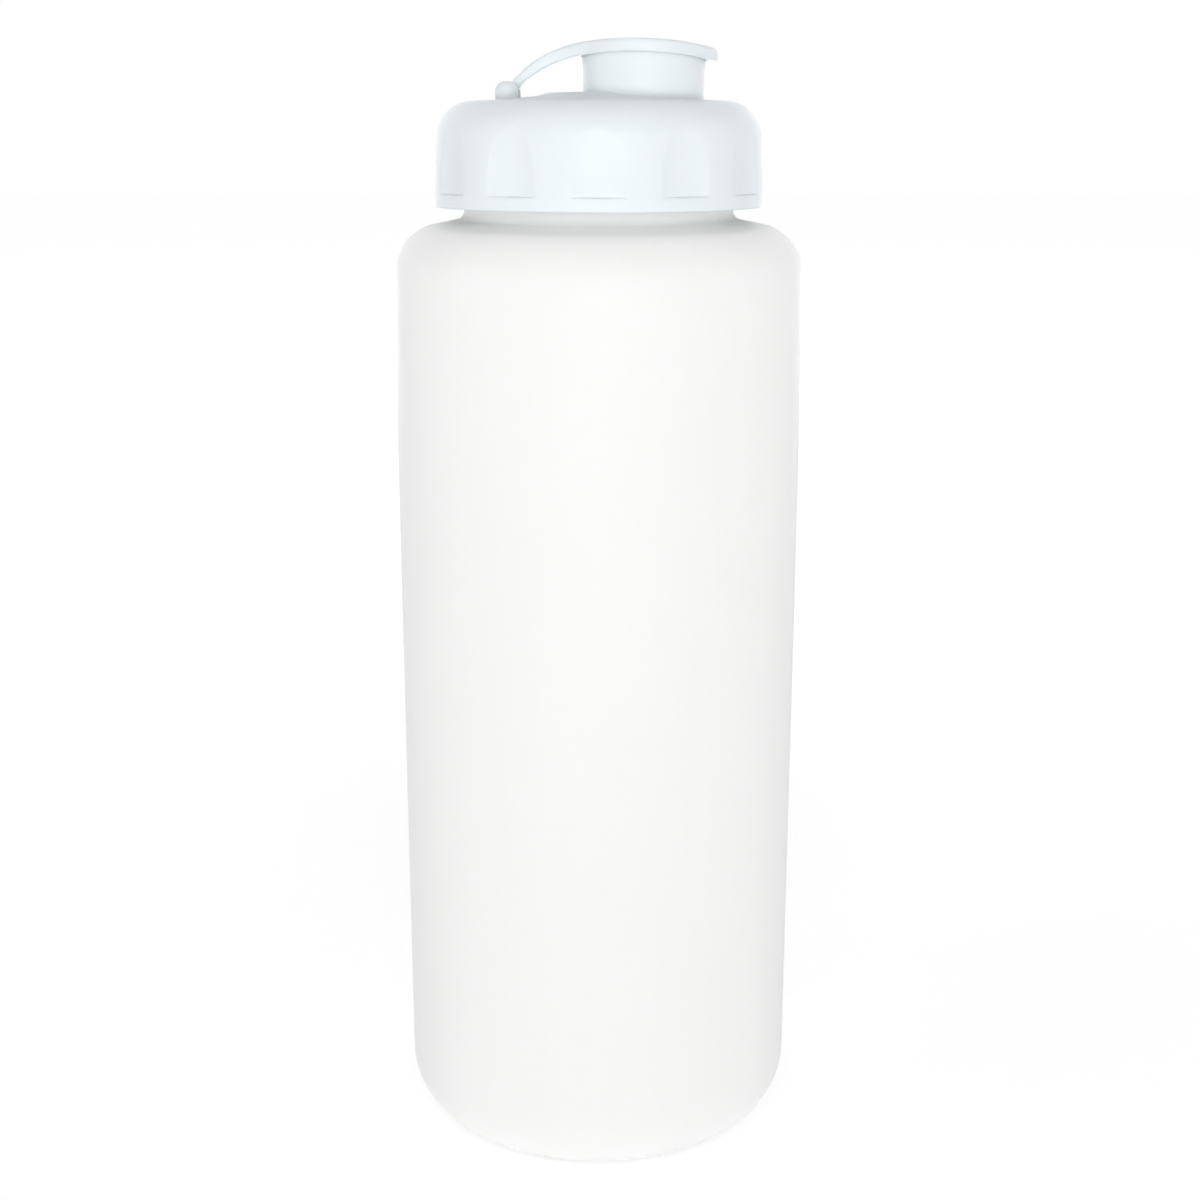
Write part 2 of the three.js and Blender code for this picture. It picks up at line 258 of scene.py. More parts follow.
def profile(corners, closed=False):
    """A line of (radius, height, rounding, steps) corners in the XZ plane, each rounded as it says."""
    bm = bmesh.new()
    verts = [bm.verts.new((corner[0] * MM, 0, corner[1] * MM)) for corner in corners]
    for pair in zip(verts, verts[1:]):
        bm.edges.new(pair)
    if closed:
        bm.edges.new((verts[-1], verts[0]))
    for vert, corner in zip(verts, corners):
        if len(corner) > 2:
            round_off(bm, [vert], corner[2], corner[3], "VERTICES")
    return bm


def round_off(bm, geom, size, steps, affect="EDGES"):
    """Rounds edges or corners with an even curve."""
    bmesh.ops.bevel(
        bm, geom=geom, offset=size * MM, offset_type="OFFSET", segments=steps,
        profile=0.5, affect=affect, material=-1, clamp_overlap=True,
    )


def spun(bm, steps):
    """The profile turned all the way round the Z axis and closed."""
    bmesh.ops.spin(
        bm, geom=bm.verts[:] + bm.edges[:], cent=(0, 0, 0), axis=UP,
        angle=FULL_TURN, steps=steps, use_merge=True,
    )
    return tidy(bm)


def spun_in_sectors(bm, sectors, steps, shape):
    """The profile turned through one sector, shaped there, and the sector repeated all the way round."""
    sector = FULL_TURN / sectors
    bmesh.ops.spin(bm, geom=bm.verts[:] + bm.edges[:], cent=(0, 0, 0), axis=UP, angle=sector, steps=steps)
    shape(bm)
    bmesh.ops.spin(
        bm, geom=bm.verts[:] + bm.edges[:] + bm.faces[:], cent=(0, 0, 0), axis=UP,
        angle=FULL_TURN - sector, steps=sectors - 1, use_duplicate=True,
    )
    return tidy(bm)


def tidy(bm):
    """Doubles merged, slivers gone, faces outwards."""
    bmesh.ops.remove_doubles(bm, verts=bm.verts[:], dist=WELD * MM)
    bmesh.ops.dissolve_degenerate(bm, dist=WELD * MM, edges=bm.edges[:])
    bmesh.ops.recalc_face_normals(bm, faces=bm.faces[:])
    return bm


def moved(bm, x=0, y=0, z=0):
    bmesh.ops.translate(bm, vec=Vector((x, y, z)) * MM, verts=bm.verts[:])
    return bm


def as_object(bm, name):
    mesh = bpy.data.meshes.new(name)
    bm.to_mesh(mesh)
    bm.free()
    thing = bpy.data.objects.new(name, mesh)
    bpy.context.scene.collection.objects.link(thing)
    return thing


def combined(name, base, *tools):
    """The base with each (operation, bmesh) joined to it or cut from it."""
    thing = as_object(base, name)
    helpers = [as_object(tool, name + "_tool") for _, tool in tools]
    for (operation, _), helper in zip(tools, helpers):
        step = thing.modifiers.new(operation, "BOOLEAN")
        step.operation = operation
        step.solver = "MANIFOLD"
        step.object = helper
    graph = bpy.context.evaluated_depsgraph_get()
    thing.data = bpy.data.meshes.new_from_object(thing.evaluated_get(graph))
    thing.modifiers.clear()
    for helper in helpers:
        bpy.data.objects.remove(helper)
    return thing


def finished(thing, body, slot, *nodes):
    """Smooth faces with true edges kept sharp, then its body and the nodes it stands for, which are hidden.
    The slot is not used.
    """
    bm = bmesh.new()
    bm.from_mesh(thing.data)
    bmesh.ops.remove_doubles(bm, verts=bm.verts[:], dist=WELD * MM)
    bmesh.ops.dissolve_degenerate(bm, dist=WELD * MM, edges=bm.edges[:])
    for face in bm.faces:
        face.smooth = True
    for edge in bm.edges:
        edge.smooth = not (edge.is_manifold and edge.calc_face_angle() > SHARP_ANGLE)
    bm.to_mesh(thing.data)
    bm.free()
    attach(thing, body)
    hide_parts(*nodes)
    return thing


def helical_ridge(wall, depth, start, turn, outwards):
    """The thread on a wall, which fades in and out at its ends. It starts at a share of a turn."""
    side = 1 if outwards else -1
    section = profile((
        (wall - side * THREAD_ROOT, start - THREAD_FOOT / 2),
        (wall + side * depth, start - THREAD_CREST / 2, THREAD_ROUND, EDGE_STEPS),
        (wall + side * depth, start + THREAD_CREST / 2, THREAD_ROUND, EDGE_STEPS),
        (wall - side * THREAD_ROOT, start + THREAD_FOOT / 2),
    ), closed=True)
    facing = Matrix.Rotation(turn * FULL_TURN, 3, "Z")
    bmesh.ops.rotate(section, cent=(0, 0, 0), matrix=facing, verts=section.verts[:])
    count = len(section.verts)
    rise = Vector((0, 0, PITCH * THREAD_TURNS / THREAD_STEPS * MM))
    bmesh.ops.spin(
        section, geom=section.verts[:] + section.edges[:], cent=(0, 0, 0), axis=UP, dvec=rise,
        angle=THREAD_TURNS * FULL_TURN, steps=THREAD_STEPS,
    )
    section.verts.ensure_lookup_table()
    rings = len(section.verts) // count
    for ring in range(rings):
        shown = min(1, (ring + 0.5) / THREAD_FADE, (rings - ring - 0.5) / THREAD_FADE)
        for vert in section.verts[ring * count:(ring + 1) * count]:
            flat = Vector((vert.co.x, vert.co.y, 0))
            stands = (flat.length - wall * MM) * side
            if stands > 0:
                flat.length = wall * MM + side * stands * shown
                vert.co = flat + UP * vert.co.z
    bmesh.ops.holes_fill(section, edges=section.edges[:], sides=count)
    bmesh.ops.recalc_face_normals(section, faces=section.faces[:])
    return section


def cross_bar(radius, length, rounding):
    """A round bar along Y with rounded ends, centred on the origin."""
    bm = profile((
        (0, -length / 2),
        (radius, -length / 2, rounding, EDGE_STEPS),
        (radius, length / 2, rounding, EDGE_STEPS),
        (0, length / 2),
    ))
    spun(bm, POST_STEPS)
    bmesh.ops.rotate(bm, cent=(0, 0, 0), matrix=Matrix.Rotation(math.pi / 2, 3, "X"), verts=bm.verts[:])
    return bm


# Bottle pieces

def bottle_body():
    inner_radius = BODY_RADIUS - BODY_WALL
    shoulder_slope = (NECK_ROOT - SHOULDER_HEIGHT) / (SHOULDER_EDGE - NECK_RADIUS)
    inner_edge = SHOULDER_EDGE - BODY_WALL
    inner_neck = NECK_ROOT + (NECK_RADIUS - NECK_BORE) * shoulder_slope - BODY_WALL
    inner_shoulder = SHOULDER_HEIGHT + BODY_WALL * shoulder_slope - BODY_WALL
    return spun(profile((
        (0, PUSH_UP),
        (FOOT_INNER / 2, PUSH_UP * DIMPLE_SHARE, DIMPLE_ROUND, SOFT_STEPS),
        (FOOT_INNER, 0, FOOT_ROUND, EDGE_STEPS),
        (BODY_RADIUS, 0, HEEL_ROUND, OUTER_BEND_STEPS),
        (BODY_RADIUS, EASE_HEIGHT, EASE_ROUND, EASE_STEPS),
        (SHOULDER_EDGE, SHOULDER_HEIGHT, SHOULDER_ROUND, OUTER_BEND_STEPS),
        (NECK_RADIUS, NECK_ROOT, NECK_FILLET, FILLET_STEPS),
        (NECK_RADIUS, RIM_HEIGHT, RIM_ROUND, EDGE_STEPS),
        (NECK_BORE, RIM_HEIGHT, RIM_ROUND, EDGE_STEPS),
        (NECK_BORE, inner_neck, NECK_BORE_FILLET, EDGE_STEPS),
        (inner_edge, inner_shoulder, SHOULDER_ROUND - BODY_WALL, INNER_BEND_STEPS),
        (inner_radius, EASE_HEIGHT, EASE_ROUND, SOFT_STEPS),
        (inner_radius, BODY_WALL, HEEL_ROUND - BODY_WALL, INNER_BEND_STEPS),
        (FOOT_INNER, BODY_WALL, FOOT_ROUND, TINY_STEPS),
        (FOOT_INNER / 2, PUSH_UP * DIMPLE_SHARE + BODY_WALL, DIMPLE_ROUND, EDGE_STEPS),
        (0, PUSH_UP + BODY_WALL),
    )), BODY_STEPS)


def make_bottle():
    thread = helical_ridge(NECK_RADIUS, NECK_THREAD, CAP_FOOT + THREAD_START, 0, True)
    thing = combined("blown_bottle", bottle_body(), ("UNION", thread))
    return finished(thing, "bottle", "bottle", "bottle")


# Screw cap pieces

def side_radius(height):
    """Radius of the cap's drafted side, as if it ran on to the top."""
    return CAP_RADIUS - CAP_DRAFT * height


def ledge_share(height):
    """How much of a flute's depth is cut at a height: none on the band, all of it above the ledge."""
    share = 0
    for (low, from_share), (high, to_share) in zip(LEDGE_ROWS, LEDGE_ROWS[1:]):
        if height >= low:
            share = from_share + (to_share - from_share) * min(1, (height - low) / (high - low))
    return share


def press_flutes(bm):
    """Moves the skirt's vertices inwards to the round surface of the nearest flute."""
    land = side_radius(BAND_HEIGHT)
    lean = land - math.sqrt(land ** 2 - FLUTE_HALF_WIDTH ** 2)
    bite = FLUTE_DEPTH - lean
    foot_radius = (FLUTE_HALF_WIDTH ** 2 + bite ** 2) / (2 * bite)
    top_radius = foot_radius + CAP_DRAFT * (ARCH_START - BAND_HEIGHT)
    reach = land - FLUTE_DEPTH + foot_radius
    pitch_angle = FULL_TURN / FLUTES
    for vert in bm.verts:
        height = vert.co.z / MM
        flat = Vector((vert.co.x, vert.co.y, 0))
        radius = flat.length / MM
        if radius < CAP_BORE + SKIN_GAP or height < LEDGE_ROWS[0][0] or height > ARCH_START + ARCH_HEIGHT:
            continue
        turn = math.atan2(flat.y, flat.x)
        off = turn - pitch_angle * round(turn / pitch_angle)
        if height < ARCH_START:
            cutter = foot_radius + CAP_DRAFT * (height - BAND_HEIGHT)
        else:
            sine = (height - ARCH_START) / ARCH_HEIGHT
            cutter = top_radius - ARCH_EASE * (1 - math.sqrt(max(0, 1 - sine ** 2)))
        inside = cutter ** 2 - (reach * math.sin(off)) ** 2
        if inside <= 0:
            continue
        depth = radius - (reach * math.cos(off) - math.sqrt(inside))
        depth = (depth + math.sqrt(depth ** 2 + FLUTE_EDGE ** 2)) / 2
        flat.length = (radius - ledge_share(height) * depth) * MM
        vert.co = flat + UP * vert.co.z


def cap_shell():
    ceiling = CAP_HEIGHT - CAP_TOP_WALL
    rib_bottom = ceiling - RIB_DEPTH
    ledge_top = LEDGE_ROWS[-1][0]
    side_top = CAP_HEIGHT - CAP_EDGE_ROUND
    rows = [height for height, _ in LEDGE_ROWS]
    rows += [
        ledge_top + (side_top - TOP_ROW_GAP - ledge_top) * (i + 1) / FLUTE_ROWS
        for i in range(FLUTE_ROWS)
    ]
    return spun_in_sectors(profile((
        (0, ceiling),
        (RIB_RADIUS - RIB_WALL, ceiling, RIB_ROUND, TINY_STEPS),
        (RIB_RADIUS - RIB_WALL, rib_bottom, RIB_ROUND, EDGE_STEPS),
        (RIB_RADIUS, rib_bottom, RIB_ROUND, EDGE_STEPS),
        (RIB_RADIUS, ceiling, RIB_ROUND, TINY_STEPS),
        (CAP_BORE - CORNER_WIDTH, ceiling),
        (CAP_BORE, ceiling - CORNER_DROP, CORNER_ROUND, TINY_STEPS),
        (CAP_BORE, CAP_LEAD_IN, CAP_LEAD_ROUND, TINY_STEPS),
        (CAP_BORE + CAP_LEAD_IN, 0, CAP_LEAD_ROUND, TINY_STEPS),
        (CAP_RADIUS, 0, CAP_FOOT_ROUND, SOFT_STEPS),
        *[(side_radius(height), height) for height in rows],
        (side_radius(CAP_HEIGHT), CAP_HEIGHT, CAP_EDGE_ROUND, CAP_EDGE_STEPS),
        (APRON_RADIUS, CAP_HEIGHT, APRON_ROUND, SOFT_STEPS),
        (PAD_FOOT, CAP_HEIGHT + APRON_RISE, PAD_FOOT_ROUND, EDGE_STEPS),
        (PAD_RADIUS, CAP_HEIGHT + PAD_RISE, PAD_ROUND, EDGE_STEPS),
        (0, CAP_HEIGHT + PAD_RISE + PAD_CROWN),
    )), FLUTES, FLUTE_STEPS, press_flutes)


def spout_tube():
    bm = spun(profile((
        (0, CAP_HEIGHT - CAP_TOP_WALL / 2),
        (SPOUT_FOOT + SPOUT_FILLET, CAP_HEIGHT - CAP_TOP_WALL / 2),
        (SPOUT_FOOT + SPOUT_FILLET, CAP_HEIGHT - SPOUT_FILLET_SINK),
        (SPOUT_FOOT, CAP_HEIGHT + SPOUT_FOOT_LIFT, SPOUT_FILLET, SOFT_STEPS),
        (SPOUT_RIM, CAP_HEIGHT + SPOUT_HEIGHT, SPOUT_ROUND, SOFT_STEPS),
        (0, CAP_HEIGHT + SPOUT_HEIGHT),
    )), RING_STEPS)
    return moved(bm, x=SPOUT_OFFSET)


def spout_bore():
    bottom = CAP_HEIGHT - CAP_TOP_WALL - OVERRUN
    top = CAP_HEIGHT + SPOUT_HEIGHT
    bm = spun(profile((
        (0, bottom),
        (SPOUT_BORE, bottom),
        (SPOUT_BORE, top - BORE_LEAD_IN, BORE_ROUND, TINY_STEPS),
        (SPOUT_BORE + BORE_LEAD_IN, top, BORE_ROUND, TINY_STEPS),
        (SPOUT_BORE + BORE_FLARE, top + OVERRUN),
        (0, top + OVERRUN),
    )), RING_STEPS)
    return moved(bm, x=SPOUT_OFFSET)


def hinge_post(side):
    bm = spun(profile((
        (0, CAP_HEIGHT - CAP_TOP_WALL / 2),
        (POST_RADIUS, CAP_HEIGHT - CAP_TOP_WALL / 2),
        (POST_RADIUS, CAP_HEIGHT + POST_HEIGHT, POST_DOME, DOME_STEPS),
        (0, CAP_HEIGHT + POST_HEIGHT),
    )), POST_STEPS)
    return moved(bm, x=-HINGE_OFFSET, y=side * POST_SHIFT)


def pin_socket(side):
    length = SOCKET_DEPTH + OVERRUN
    middle = ARM_HALF_WIDTH + SOCKET_DEPTH - length / 2
    bar = cross_bar(SOCKET_RADIUS, length, SOCKET_ROUND)
    return moved(bar, x=-HINGE_OFFSET, y=side * middle, z=CAP_HEIGHT + HINGE_LIFT)


def hinge_pocket():
    reach = KNUCKLE_RADIUS + POCKET_GAP
    floor = CAP_HEIGHT + HINGE_LIFT - reach
    height = APRON_RISE + reach
    bm = bmesh.new()
    bmesh.ops.create_cube(bm, size=MM)
    bmesh.ops.scale(bm, vec=(2 * POST_RADIUS, 2 * (ARM_HALF_WIDTH + POCKET_GAP), height), verts=bm.verts[:])
    round_off(bm, bm.edges[:], POCKET_ROUND, TINY_STEPS)
    return moved(bm, x=-HINGE_OFFSET, z=floor + height / 2)


def make_cap():
    thread = helical_ridge(CAP_BORE, CAP_THREAD, THREAD_START, CAP_THREAD_TURN, False)
    steps = [("UNION", thread), ("UNION", spout_tube())]
    steps += [("DIFFERENCE", spout_bore()), ("DIFFERENCE", hinge_pocket())]
    for side in (-1, 1):
        steps += [("UNION", hinge_post(side)), ("DIFFERENCE", pin_socket(side))]
    thing = combined("fluted_cap", cap_shell(), *steps)
    thing.data.transform(Matrix.Translation(UP * CAP_FOOT * MM))
    return finished(thing, "cap", "cap", "screw_cap")


# Flip lid pieces

class Arch:
    """The lid's side view: a long arc over the spout that runs into a tighter one down to the hinge."""

    def __init__(self):
        crown = Vector((LID_CENTRE - CROWN_SHIFT, LID_CEILING + LID_WEB))
        self.plate = crown - Vector((0, CROWN_RADIUS))
        self.bend_x = LID_CENTRE - BEND_START
        self.tip_x = LID_CENTRE + LID_RADIUS + LIP
        self.bend_angle = math.acos((self.bend_x - self.plate.x) / CROWN_RADIUS)
        self.tip_angle = math.acos((self.tip_x - self.plate.x) / CROWN_RADIUS)
        outwards = Vector((math.cos(self.bend_angle), math.sin(self.bend_angle)))
        bend = self.plate + outwards * CROWN_RADIUS
        self.root = Vector((math.cos(ARM_ROOT_ANGLE), math.sin(ARM_ROOT_ANGLE))) * KNUCKLE_RADIUS
        chord = bend - self.root
        self.arm_radius = chord.length_squared / (2 * outwards.dot(chord))
        self.arm = bend - outwards * self.arm_radius
        self.root_angle = math.atan2(self.root.y - self.arm.y, self.root.x - self.arm.x)

    def height(self, x):
        """Height of the top surface."""
        if x > self.bend_x:
            return self.plate.y + math.sqrt(CROWN_RADIUS ** 2 - (x - self.plate.x) ** 2)
        return self.arm.y + math.sqrt(self.arm_radius ** 2 - (x - self.arm.x) ** 2)

    def cuts(self):
        """Where the flat slab is divided, closer where it bends more."""
        for i in range(1, ARM_CUTS):
            angle = self.root_angle + (self.bend_angle - self.root_angle) * i / ARM_CUTS
            yield self.arm.x + self.arm_radius * math.cos(angle)
        for i in range(PLATE_CUTS):
            angle = self.bend_angle + (self.tip_angle - self.bend_angle) * i / PLATE_CUTS
            yield self.plate.x + CROWN_RADIUS * math.cos(angle)
        for i in range(NOSE_CUTS):
            yield self.tip_x - NOSE * (1 - i / NOSE_CUTS) ** 2

    def nose(self, x):
        """Share of the nose's rounding at x: none before the lip, one at the tip."""
        along = min(1, max(0, (x - self.tip_x) / NOSE + 1))
        return 1 - math.sqrt(1 - along ** 2)


def half_outline(arch):
    """One side of the lid's top view, from the hinge to the thumb lip."""
    join_angle = math.pi - math.asin(FLARE_HALF_WIDTH / LID_RADIUS)
    join = Vector((LID_CENTRE + LID_RADIUS * math.cos(join_angle), FLARE_HALF_WIDTH))
    flare = Vector((join.x * FLARE_SHARE, ARM_HALF_WIDTH))
    pull = Vector(((flare.x + join.x) / 2, ARM_HALF_WIDTH))
    points = [Vector((arch.root.x, ARM_HALF_WIDTH))]
    for i in range(FLARE_STEPS + 1):
        t = i / FLARE_STEPS
        points.append(flare * (1 - t) ** 2 + pull * 2 * t * (1 - t) + join * t ** 2)
    lip_angle = math.radians(LIP_ANGLE)
    for i in range(1, PLATE_STEPS):
        angle = join_angle + (lip_angle - join_angle) * i / PLATE_STEPS
        points.append(Vector((LID_CENTRE + LID_RADIUS * math.cos(angle), LID_RADIUS * math.sin(angle))))
    outwards = Vector((math.cos(lip_angle), math.sin(lip_angle)))
    start = Vector((LID_CENTRE, 0)) + outwards * LID_RADIUS
    leave = start + Vector((outwards.y, -outwards.x)) * LIP_EASE
    arrive = Vector((arch.tip_x, LIP_HALF_WIDTH))
    tip = Vector((arch.tip_x, 0))
    for i in range(LIP_STEPS + 1):
        t = i / LIP_STEPS
        back = 1 - t
        from_plate = start * back ** 3 + leave * 3 * t * back ** 2
        points.append(from_plate + arrive * 3 * t ** 2 * back + tip * t ** 3)
    return points


def lid_slab(arch):
    """The plate, lip and arm cut from a flat slab, its rims rounded, then bent to the arch."""
    bm = bmesh.new()
    half = half_outline(arch)
    points = half + [Vector((point.x, -point.y)) for point in reversed(half[:-1])]
    verts = [bm.verts.new((point.x * MM, point.y * MM, -LID_THICKNESS * MM)) for point in points]
    bottom = bm.faces.new(verts)
    raised = bmesh.ops.extrude_face_region(bm, geom=[bottom], use_keep_orig=True)
    top_verts = [item for item in raised["geom"] if isinstance(item, bmesh.types.BMVert)]
    bmesh.ops.translate(bm, vec=UP * LID_THICKNESS * MM, verts=top_verts)
    bmesh.ops.recalc_face_normals(bm, faces=bm.faces[:])
    tidy(bm)
    middle = -LID_THICKNESS / 2 * MM
    top_rim = [edge for edge in bm.edges if all(vert.co.z > middle for vert in edge.verts)]
    round_off(bm, top_rim, LID_TOP_ROUND, FILLET_STEPS)
    foot = -(LID_THICKNESS - FOOT_RIM_SLACK) * MM
    foot_rim = [edge for edge in bm.edges if all(vert.co.z < foot for vert in edge.verts)]
    round_off(bm, foot_rim, LID_FOOT_ROUND, EDGE_STEPS)
    for x in arch.cuts():
        bmesh.ops.bisect_plane(
            bm, geom=bm.verts[:] + bm.edges[:] + bm.faces[:], dist=WELD * MM,
            plane_co=(x * MM, 0, 0), plane_no=AXIS_X,
        )
    for vert in bm.verts:
        x, up = vert.co.x / MM, 1 + vert.co.z / MM / LID_THICKNESS
        nose = arch.nose(x) * (NOSE_FOOT_LIFT * (1 - up) - NOSE_TOP_DROP * up)
        vert.co.z += (arch.height(x) + nose) * MM
    return tidy(bm)


def lid_recess():
    bm = spun(profile((
        (0, 0),
        (RECESS_RADIUS, 0),
        (RECESS_RADIUS, LID_CEILING, RECESS_ROUND, TINY_STEPS),
        (0, LID_CEILING),
    )), RING_STEPS)
    return moved(bm, x=LID_CENTRE)


def lid_plug():
    root = LID_CEILING + LID_WEB / 2
    tip = LID_CEILING - PLUG_DEPTH
    bm = spun(profile((
        (PLUG_BORE, tip, PLUG_ROUND, SOFT_STEPS),
        (PLUG_TIP, tip, PLUG_ROUND, SOFT_STEPS),
        (PLUG_ROOT, LID_CEILING),
        (PLUG_ROOT, root),
        (PLUG_BORE, root),
    ), closed=True), RING_STEPS)
    return moved(bm, x=LID_CENTRE)


def make_lid():
    arch = Arch()
    thing = combined(
        "arched_lid", lid_slab(arch),
        ("DIFFERENCE", lid_recess()),
        ("UNION", lid_plug()),
        ("UNION", cross_bar(KNUCKLE_RADIUS, 2 * ARM_HALF_WIDTH, KNUCKLE_ROUND)),
        ("UNION", cross_bar(PIN_RADIUS, 2 * (ARM_HALF_WIDTH + PIN_LENGTH), PIN_ROUND)),
    )
    hinge = Vector((-HINGE_OFFSET, 0, CAP_FOOT + CAP_HEIGHT + HINGE_LIFT)) * MM
    thing.data.transform(Matrix.Translation(hinge))
    return finished(thing, "lid", "cap", "flip_lid")


def make_seal():
    bm = spun(profile((
        (SEAL_INNER, SEAL_FOOT, SEAL_ROUND, EDGE_STEPS),
        (SEAL_OUTER, SEAL_FOOT, SEAL_ROUND, EDGE_STEPS),
        (SEAL_OUTER, SEAL_FOOT + SEAL_THICKNESS, SEAL_ROUND, EDGE_STEPS),
        (SEAL_INNER, SEAL_FOOT + SEAL_THICKNESS, SEAL_ROUND, EDGE_STEPS),
    ), closed=True), RING_STEPS)
    return finished(as_object(bm, "foam_seal"), "seal", "seal", "sealing_ring")


# Finishes

class Amount:
    """A number that varies over a surface. Arithmetic on it adds Math nodes."""

    def __init__(self, finish, socket):
        self.finish = finish
        self.socket = socket

    def _with(self, operation, first, second):
        return self.finish.node("ShaderNodeMath", {"operation": operation}, {0: first, 1: second})

    def __add__(self, other):
        return self._with("ADD", self, other)

    def __mul__(self, other):
        return self._with("MULTIPLY", self, other)

    def __truediv__(self, other):
        return self._with("DIVIDE", self, other)

    def __rtruediv__(self, other):
        return self._with("DIVIDE", other, self)

    __radd__ = __add__
    __rmul__ = __mul__


class Finish:
    """A material or world built node by node."""

    def __init__(self, owner):
        owner.use_nodes = True
        self.owner = owner
        self.tree = owner.node_tree
        self.tree.nodes.clear()

    def node(self, kind, settings=None, inputs=None, output=0):
        """Adds a node: settings first, then each socket's value or link. Returns one output if it has any."""
        made = self.tree.nodes.new(kind)
        for name, value in (settings or {}).items():
            setattr(made, name, value)
        for name, value in (inputs or {}).items():
            socket = made.inputs[name]
            if isinstance(value, Amount):
                self.tree.links.new(value.socket, socket)
            else:
                socket.default_value = value
        return Amount(self, made.outputs[output]) if made.outputs else made

    def place(self, stretch=(1, 1, 1)):
        """Object coordinates, stretched along the axes."""
        coordinates = self.node("ShaderNodeTexCoord", output="Object")
        return self.node("ShaderNodeMapping", {}, {"Vector": coordinates, "Scale": stretch})

    def noise(self, per_metre, detail, rough, stretch=(1, 1, 1)):
        return self.node("ShaderNodeTexNoise", {"noise_dimensions": "3D"}, {
            "Vector": self.place(stretch), "Scale": per_metre, "Detail": detail, "Roughness": rough,
        })

    def bump(self, height, depth_mm):
        return self.node("ShaderNodeBump", {}, {"Strength": 1, "Distance": depth_mm * MM, "Height": height})

    def blend(self, share, dark, pale):
        """Colour between two, by a share that varies. The numbers are the Mix node's colour sockets."""
        colours = {0: share, 6: (*dark, 1), 7: (*pale, 1)}
        return self.node("ShaderNodeMix", {"data_type": "RGBA"}, colours, output=2)

    def show(self, shader, kind="ShaderNodeOutputMaterial"):
        self.node(kind, {}, {"Surface": shader})
        return self.owner


def blown_polyethylene():
    """Matte blow-moulded wall: fine grain of the blasted mould, faint flow up the wall, slow unevenness."""
    finish = Finish(bpy.data.materials.new("blown_polyethylene"))
    grain = finish.noise(per_metre=1900, detail=2, rough=0.5)
    flow = finish.noise(per_metre=260, detail=3, rough=0.6, stretch=(1, 1, 0.06))
    swell = finish.noise(per_metre=38, detail=2, rough=0.5)
    colour = finish.blend(swell * 0.6 + flow * 0.4, *BODY_WHITES)
    height = grain * 0.35 + flow * 0.3 + swell * 1.2
    return finish.show(finish.node("ShaderNodeBsdfPrincipled", {}, {
        "Base Color": colour,
        "Roughness": 0.44 + grain * 0.1 + flow * 0.06,
        "IOR": 1.51,
        "Diffuse Roughness": 0.9,
        "Normal": finish.bump(height, depth_mm=0.05),
    }))


def moulded_polypropylene():
    """Semi-gloss injection-moulded cap and lid: cool white, with the faint waves of a smooth mould."""
    finish = Finish(bpy.data.materials.new("moulded_polypropylene"))
    waves = finish.noise(per_metre=240, detail=2, rough=0.5)
    specks = finish.noise(per_metre=1500, detail=2, rough=0.6)
    colour = finish.blend(waves, *CAP_WHITES)
    return finish.show(finish.node("ShaderNodeBsdfPrincipled", {}, {
        "Base Color": colour,
        "Roughness": 0.38 + waves * 0.06 + specks * 0.04,
        "IOR": 1.49,
        "Diffuse Roughness": 0.6,
        "Normal": finish.bump(waves + specks * 0.12, depth_mm=0.02),
    }))


def seal_foam():
    """Closed-cell foam of the seal ring."""
    finish = Finish(bpy.data.materials.new("seal_foam"))
    cells = finish.noise(per_metre=2600, detail=3, rough=0.7)
    colour = finish.blend(cells, *FOAM_WHITES)
    return finish.show(finish.node("ShaderNodeBsdfPrincipled", {}, {
        "Base Color": colour,
        "Roughness": 0.8 + cells * 0.15,
        "Normal": finish.bump(cells, depth_mm=0.08),
    }))


# Room

def seen_directly(finish):
    """One for rays of the camera, a mirror or glass, nought for the light that falls on the object."""
    seen = finish.node("ShaderNodeLightPath", output="Is Camera Ray")
    for kind in ("Is Glossy Ray", "Is Transmission Ray"):
        ray = finish.node("ShaderNodeLightPath", output=kind)
        seen = finish.node("ShaderNodeMath", {"operation": "MAXIMUM"}, {0: seen, 1: ray})
    return seen


def light_room():
    world = bpy.data.worlds.new("studio")
    bpy.context.scene.world = world
    finish = Finish(world)
    strength = AMBIENT + seen_directly(finish) * (1 - AMBIENT)
    light = finish.node("ShaderNodeBackground", {}, {"Color": (1, 1, 1, 1), "Strength": strength})
    finish.show(light, "ShaderNodeOutputWorld")


def lay_floor():
    bm = bmesh.new()
    bmesh.ops.create_grid(bm, x_segments=2, y_segments=2, size=FLOOR_HALF_WIDTH)
    floor = as_object(bm, "studio_floor")
    finish = Finish(bpy.data.materials.new("pale_floor"))
    sheen = finish.noise(per_metre=3, detail=2, rough=0.55)
    lit = finish.node("ShaderNodeBsdfDiffuse", {}, {"Color": finish.blend(sheen, *FLOOR_WHITES)})
    # Painted shade near the bottle: the glow rises from FLOOR_GLOW at the bottle to FLOOR_GLOW_FAR at
    # FLOOR_FADE, so the floor and its shadow close by render darker and the far floor brighter.
    away = finish.node("ShaderNodeVectorMath", {"operation": "LENGTH"}, {0: finish.place()}, output="Value")
    far = finish.node("ShaderNodeMath", {"operation": "MINIMUM"}, {0: away / FLOOR_FADE, 1: 1})
    strength = seen_directly(finish) * (FLOOR_GLOW + far * (FLOOR_GLOW_FAR - FLOOR_GLOW))
    glow = finish.node("ShaderNodeEmission", {}, {"Color": (1, 1, 1, 1), "Strength": strength})
    finish.show(finish.node("ShaderNodeAddShader", {}, {0: lit, 1: glow}))
    floor.data.materials.append(finish.owner)


